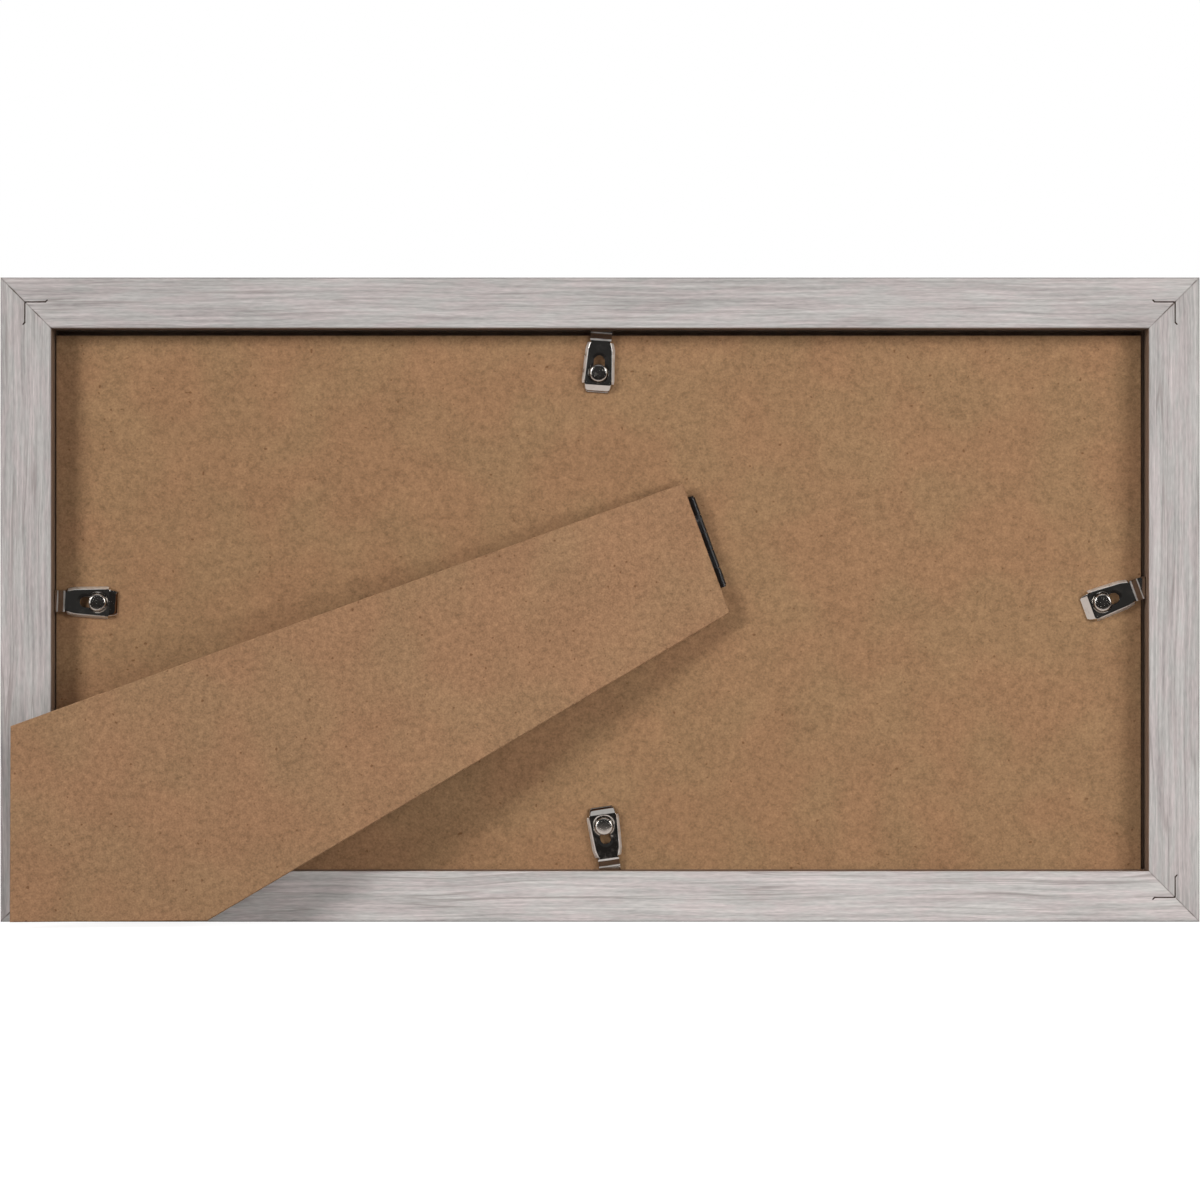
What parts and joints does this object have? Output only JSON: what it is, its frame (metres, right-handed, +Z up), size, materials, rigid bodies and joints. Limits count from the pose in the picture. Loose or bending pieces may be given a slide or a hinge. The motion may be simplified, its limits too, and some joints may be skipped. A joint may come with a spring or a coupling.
{
  "type": "picture frame",
  "caption": "Landscape photo frame with mitred wood-look rails, a hardboard back held by sliding metal clips on rivets, and a hinged easel leg.",
  "frame": {"origin": "middle of the bottom rail's underside, half way through the rail's depth", "axes": "+X to the right as the back is seen, along the frame's width; +Z up; -Y out of the back with the clips and the leg, +Y out of the front with the pane"},
  "size_m": [0.332, 0.0426, 0.1784],
  "materials": {
    "rail_foil": "pale grey-brown wood-grain foil, satin",
    "hardboard": "mottled brown hardboard, smooth and matt",
    "leg_board": "mottled brown hardboard, smooth and matt",
    "clip_steel": "nickel-plated pressed steel, bright",
    "rivet_steel": "nickel-plated steel, bright",
    "hinge_black": "black, semi-gloss",
    "wedge_steel": "dark bare steel",
    "pane_glass": "clear float glass",
    "insert_paper": "bare white card, matt"
  },
  "bodies": {
    "frame": {"rail_bottom": "rail_foil", "rail_right": "rail_foil", "rail_top": "rail_foil", "rail_left": "rail_foil", "wedge_bottom_left": "wedge_steel", "wedge_bottom_right": "wedge_steel", "wedge_top_right": "wedge_steel", "wedge_top_left": "wedge_steel", "glass_pane": "pane_glass", "insert_sheet": "insert_paper", "back_board": "hardboard", "hinge_fixed_leaf": "hinge_black", "hinge_pin": "hinge_black"},
    "leg": {"easel_leg": "leg_board", "hinge_moving_leaf": "hinge_black"},
    "rivet_top": {"rivet_top": "rivet_steel"},
    "clip_top": {"clip_top": "clip_steel"},
    "rivet_bottom": {"rivet_bottom": "rivet_steel"},
    "clip_bottom": {"clip_bottom": "clip_steel"},
    "rivet_left": {"rivet_left": "rivet_steel"},
    "clip_left": {"clip_left": "clip_steel"},
    "rivet_right": {"rivet_right": "rivet_steel"},
    "clip_right": {"clip_right": "clip_steel"}
  },
  "joints": [
    {"name": "leg_hinge", "type": "hinge", "parent": "frame", "child": "leg", "pos_m": [0.0298, -0.002, 0.1053], "axis": [-0.342, 0, 0.9397], "range_deg": [-5, 27.5]},
    {"name": "top_clip_turn", "type": "hinge", "parent": "frame", "child": "rivet_top", "pos_m": [-0.0004, -0.0008, 0.1523], "axis": [0, -1, 0], "continuous": true},
    {"name": "top_clip_slide", "type": "slide", "parent": "rivet_top", "child": "clip_top", "axis": [0.0698, 0, 0.9976], "range_m": [-0.0034, 0]},
    {"name": "bottom_clip_turn", "type": "hinge", "parent": "frame", "child": "rivet_bottom", "pos_m": [0.0011, -0.0008, 0.0261], "axis": [0, -1, 0], "continuous": true},
    {"name": "bottom_clip_slide", "type": "slide", "parent": "rivet_bottom", "child": "clip_bottom", "axis": [0.1392, 0, -0.9903], "range_m": [-0.0034, 0]},
    {"name": "left_clip_turn", "type": "hinge", "parent": "frame", "child": "rivet_left", "pos_m": [-0.1399, -0.0008, 0.0884], "axis": [0, -1, 0], "continuous": true},
    {"name": "left_clip_slide", "type": "slide", "parent": "rivet_left", "child": "clip_left", "axis": [-0.9994, 0, 0.0349], "range_m": [-0.0034, 0]},
    {"name": "right_clip_turn", "type": "hinge", "parent": "frame", "child": "rivet_right", "pos_m": [0.1399, -0.0008, 0.0884], "axis": [0, -1, 0], "continuous": true},
    {"name": "right_clip_slide", "type": "slide", "parent": "rivet_right", "child": "clip_right", "axis": [0.9397, 0, 0.342], "range_m": [-0.0034, 0]}
  ]
}
